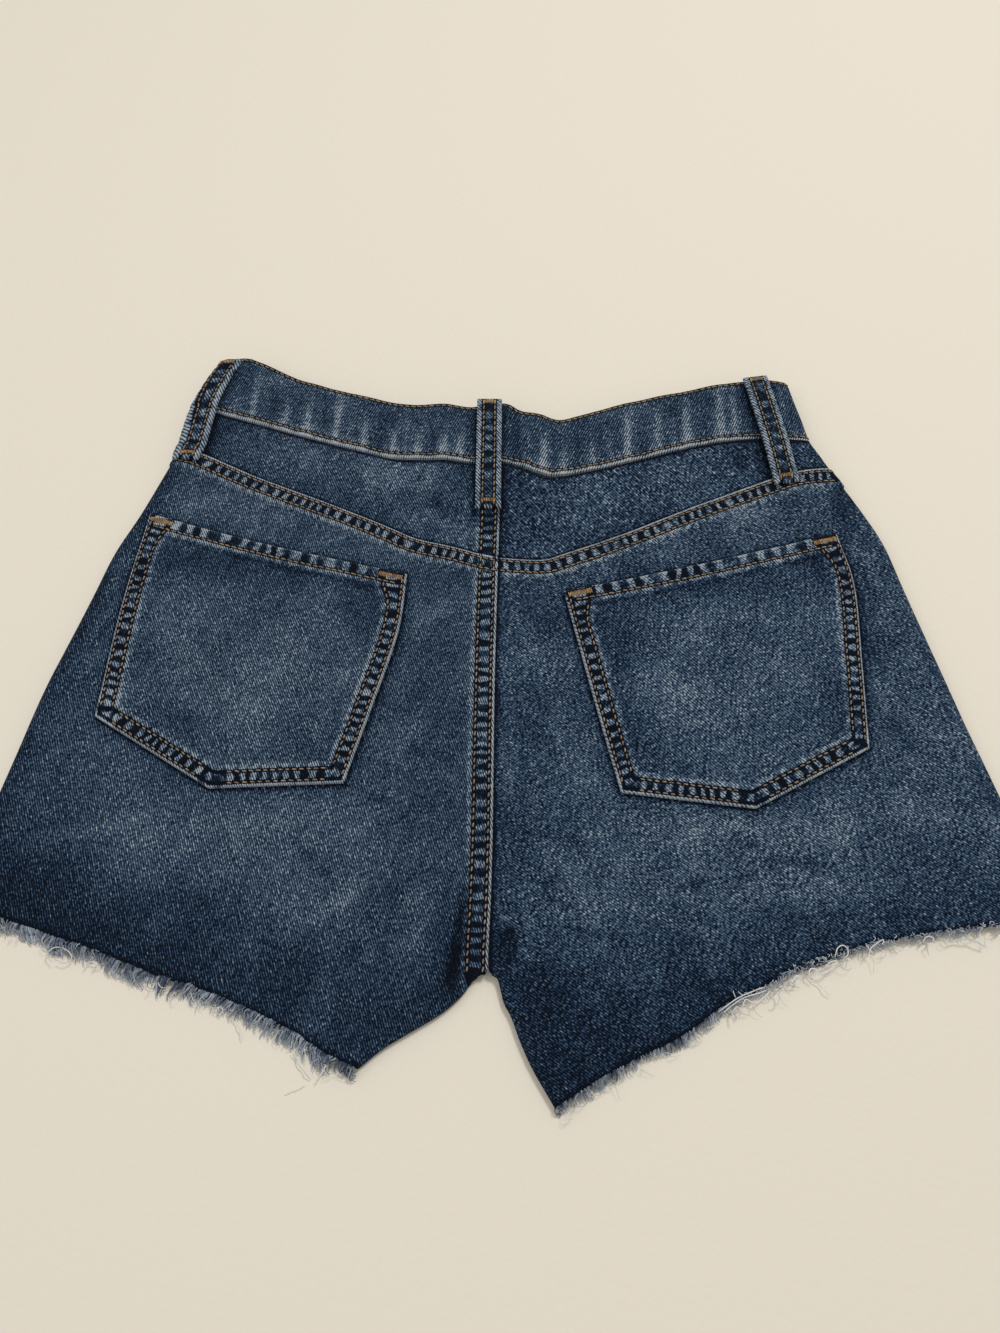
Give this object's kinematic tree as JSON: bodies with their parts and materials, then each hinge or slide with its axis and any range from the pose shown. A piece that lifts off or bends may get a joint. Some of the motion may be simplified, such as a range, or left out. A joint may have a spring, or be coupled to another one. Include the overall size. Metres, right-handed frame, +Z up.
{
  "type": "denim shorts",
  "caption": "Cut-off denim shorts with frayed hems, lying flat with the back up: yokes, patch pockets, waistband with belt loops, closed fly with zip and shank button underneath.",
  "frame": {"origin": "centre of the whole's box, on the surface that the shorts lie on", "axes": "+X to the wearer's right across the garment, +Y towards the waist, +Z up, away from the surface; the back of the shorts faces up"},
  "size_m": [0.453, 0.3594, 0.0138],
  "materials": {
    "denim": "washed indigo twill, matt",
    "denim_band": "washed indigo twill in folded layers, paler on its ridges",
    "denim_facing": "indigo twill, little worn",
    "frayed_yarn": "combed-out pale blue and white cotton yarn",
    "zip_brass": "dull brass teeth on a woven tape",
    "shank_button": "antique brass, plain domed cap with a rolled rim"
  },
  "bodies": {
    "root": {"back_left": "denim", "back_right": "denim", "front_left": "denim", "front_right": "denim", "pocket_back_left": "denim", "pocket_back_right": "denim", "yoke_left": "denim", "yoke_right": "denim", "waistband_back": "denim_band", "waistband_front_left": "denim_band", "waistband_front_right": "denim_band", "loop_back_centre": "denim_band", "loop_back_left": "denim_band", "loop_back_right": "denim_band", "loop_front_left": "denim_band", "loop_front_right": "denim_band", "pocket_facing_left": "denim_facing", "pocket_facing_right": "denim_facing", "fringe_back_left": "frayed_yarn", "fringe_back_right": "frayed_yarn", "fringe_front_left": "frayed_yarn", "fringe_front_right": "frayed_yarn", "zip": "zip_brass", "button": "shank_button"}
  },
  "joints": []
}
